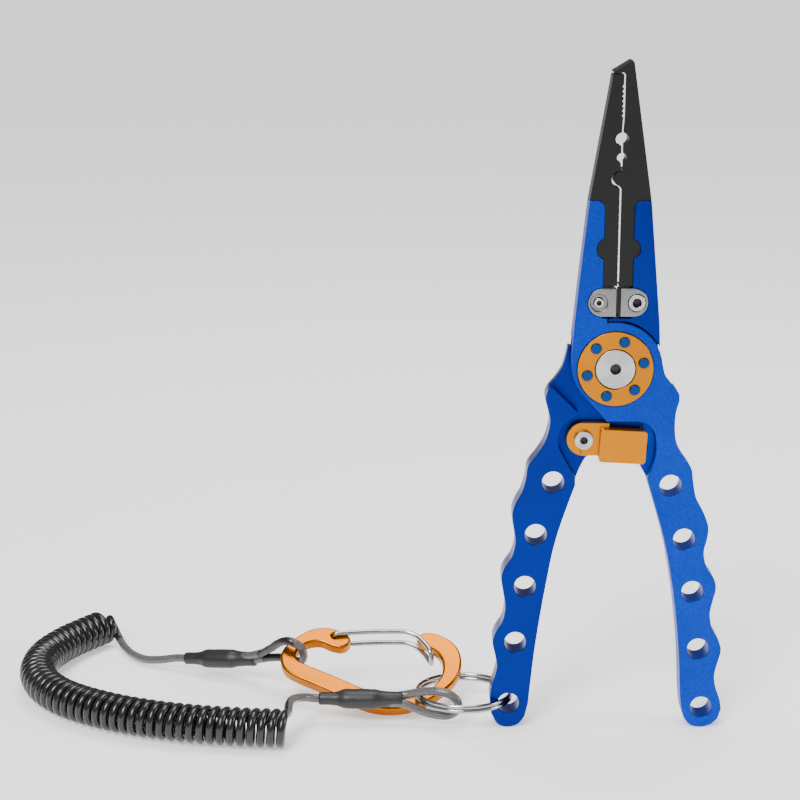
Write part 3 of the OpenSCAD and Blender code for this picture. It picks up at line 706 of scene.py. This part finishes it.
class PLIERS_OT_pivot(bpy.types.Operator):
    """Makes the pivot's screw, nut, bush, washer and spring, and the rings with their pins"""

    bl_idname = "pliers.pivot"
    bl_label = "Pivot"

    def execute(self, context):
        s = use("pliers_settings")
        # The turned finish paints a nearly black disc of socket shade, 1.75 mm in radius, at the pivot's
        # centre.
        face = turned("turned steel", s.steel)
        for node in ("pivot_screw", "pivot_nut"):
            softened(node, s.trim_edge, face)
        ring = anodised("pivot ring orange", s.orange, 0.5, 0.3, 0.85)
        pins = anodised("pin blue", s.pin_blue, 0.5, 0.35, 0.6)
        for side in ("front", "rear"):
            softened(side + "_cap_ring", s.trim_edge, ring)
            softened(side + "_cap_pins", 0.25 * MM, pins)
        softened("pivot_bush", 0.1 * MM, brushed("bronze", (0.5, 0.27, 0.1)))
        nylon = plastic("white nylon", (0.7, 0.7, 0.68), 0.5)
        softened("thrust_washer", 0.03 * MM, nylon)
        spring = NODES["return_spring"]
        spring.data.materials.clear()
        spring.data.materials.append(polished("spring steel", (0.4, 0.4, 0.42), 0.25))
        return {"FINISHED"}


class PLIERS_OT_lock(bpy.types.Operator):
    """Makes the orange thumb lock with its screw, washer and catch pin"""

    bl_idname = "pliers.lock"
    bl_label = "Thumb lock"

    def execute(self, context):
        s = use("pliers_settings")
        softened("lock_lever", s.trim_edge, anodised("lock orange", s.orange, 0.5, 0.3, 0.85))
        z = (PIVOT_Z + LOCK_Z) * MM
        # 1.25 mm is the radius of the lock screw's nearly black disc of painted socket shade.
        face = turned("lock screw steel", s.steel, LOCK_X * MM, z, 0.0003, 1.25)
        softened("lock_screw", 0.25 * MM, face)
        softened("lock_washer", 0.04 * MM, polished("washer steel", (0.45, 0.45, 0.46), 0.25))
        # Painted shade: the steel catch pin is coloured a little lighter than the back half's blue, so that
        # it reads as the shade in the pocket beside the lock.
        softened("lock_catch_pin", 0.15 * MM, brushed("catch pin in painted shade blue", shade(s.back_blue, 1.3), 0.35))
        return {"FINISHED"}


class PLIERS_OT_clip(bpy.types.Operator):
    """Makes the split ring, the carabiner and its wire gate"""

    bl_idname = "pliers.clip"
    bl_label = "Ring and clip"

    def execute(self, context):
        s = use("lanyard_settings")
        chrome = polished("chrome wire", s.chrome)
        turns = []
        steps = 96
        for i in range(2 * steps + 5):
            a = 2 * math.pi * i / steps
            step = min(1.0, max(0.0, (i - steps * 0.93) / (steps * 0.14)))
            rise = lerp(-RING_WIRE, RING_WIRE, step * step * (3 - 2 * step))
            across = RING_RADIUS * math.cos(a + 2.2)
            ahead = RING_RADIUS * math.sin(a + 2.2)
            turns.append((RING_PLACE @ Vector((across, ahead, rise))) * MM)
        ring = wire("split_ring_wire", turns, (RING_WIRE - 0.01) * MM)
        show(ring, chrome, "lanyard")
        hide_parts("split_ring")
        finish = anodised("clip orange", s.clip_orange, 0.25, 0.24, 0.9)
        softened("carabiner_frame", s.clip_edge, finish, 4)
        lift, drop = CLIP_THICK + 0.15 + GATE_WIRE, -0.15 - GATE_WIRE
        side = [
            (-13.2, 3.8), (-8, 6.9), (-2.6, 10), (5.6, 14.2), (8.4, 14.9), (11.4, 14.6), (15.6, 12.6),
            (17.4, 11.2),
        ]
        top = [(-14.2, 3.1, lift - 1.4), (-14.1, 3.2, lift - 0.3)]
        top += [(x, y, lift) for x, y in side]
        low = [(x, y, drop) for x, y in reversed(side)]
        low += [(-14.1, 3.2, drop + 0.3), (-14.2, 3.1, drop + 1.4)]
        turn = [(18.4, 10.3, lift - 1.2), (18.4, 10.3, drop + 1.2)]
        gate_points = [(CLIP_PLACE @ p) * MM for p in smooth(top + turn + low, 6)]
        gate = wire("gate_wire", gate_points, (GATE_WIRE - 0.01) * MM)
        show(gate, chrome, "clip_gate")
        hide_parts("carabiner_gate")
        return {"FINISHED"}


class PLIERS_PT_panel(bpy.types.Panel):
    """The sidebar panel that holds the sizes, colours and makers"""

    bl_idname = "PLIERS_PT_panel"
    bl_label = "Fishing pliers"
    bl_space_type = "VIEW_3D"
    bl_region_type = "UI"
    bl_category = "Fishing pliers"

    def draw(self, context):
        for group in ("pliers_settings", "lanyard_settings"):
            settings = getattr(context.scene, group)
            for name in settings.__annotations__:
                self.layout.prop(settings, name)
        for maker in MAKERS:
            self.layout.operator(maker.bl_idname)


MAKERS = (
    PLIERS_OT_stage,
    PLIERS_OT_lanyard,
    PLIERS_OT_halves,
    PLIERS_OT_jaws,
    PLIERS_OT_cutters,
    PLIERS_OT_pivot,
    PLIERS_OT_lock,
    PLIERS_OT_clip,
)
CLASSES = (PliersSettings, LanyardSettings, *MAKERS, PLIERS_PT_panel)


def register():
    """Makes the settings, operators and panel known."""
    for c in CLASSES:
        bpy.utils.register_class(c)
    bpy.types.Scene.pliers_settings = PointerProperty(type=PliersSettings)
    bpy.types.Scene.lanyard_settings = PointerProperty(type=LanyardSettings)


def unregister():
    """Takes the settings, operators and panel away again."""
    del bpy.types.Scene.lanyard_settings
    del bpy.types.Scene.pliers_settings
    for c in reversed(CLASSES):
        bpy.utils.unregister_class(c)


def main():
    """Builds everything in order."""
    register()
    bpy.ops.pliers.stage()
    bpy.ops.pliers.lanyard()
    bpy.ops.pliers.halves()
    bpy.ops.pliers.jaws()
    bpy.ops.pliers.cutters()
    bpy.ops.pliers.pivot()
    bpy.ops.pliers.lock()
    bpy.ops.pliers.clip()


if __name__ == "__main__":
    main()
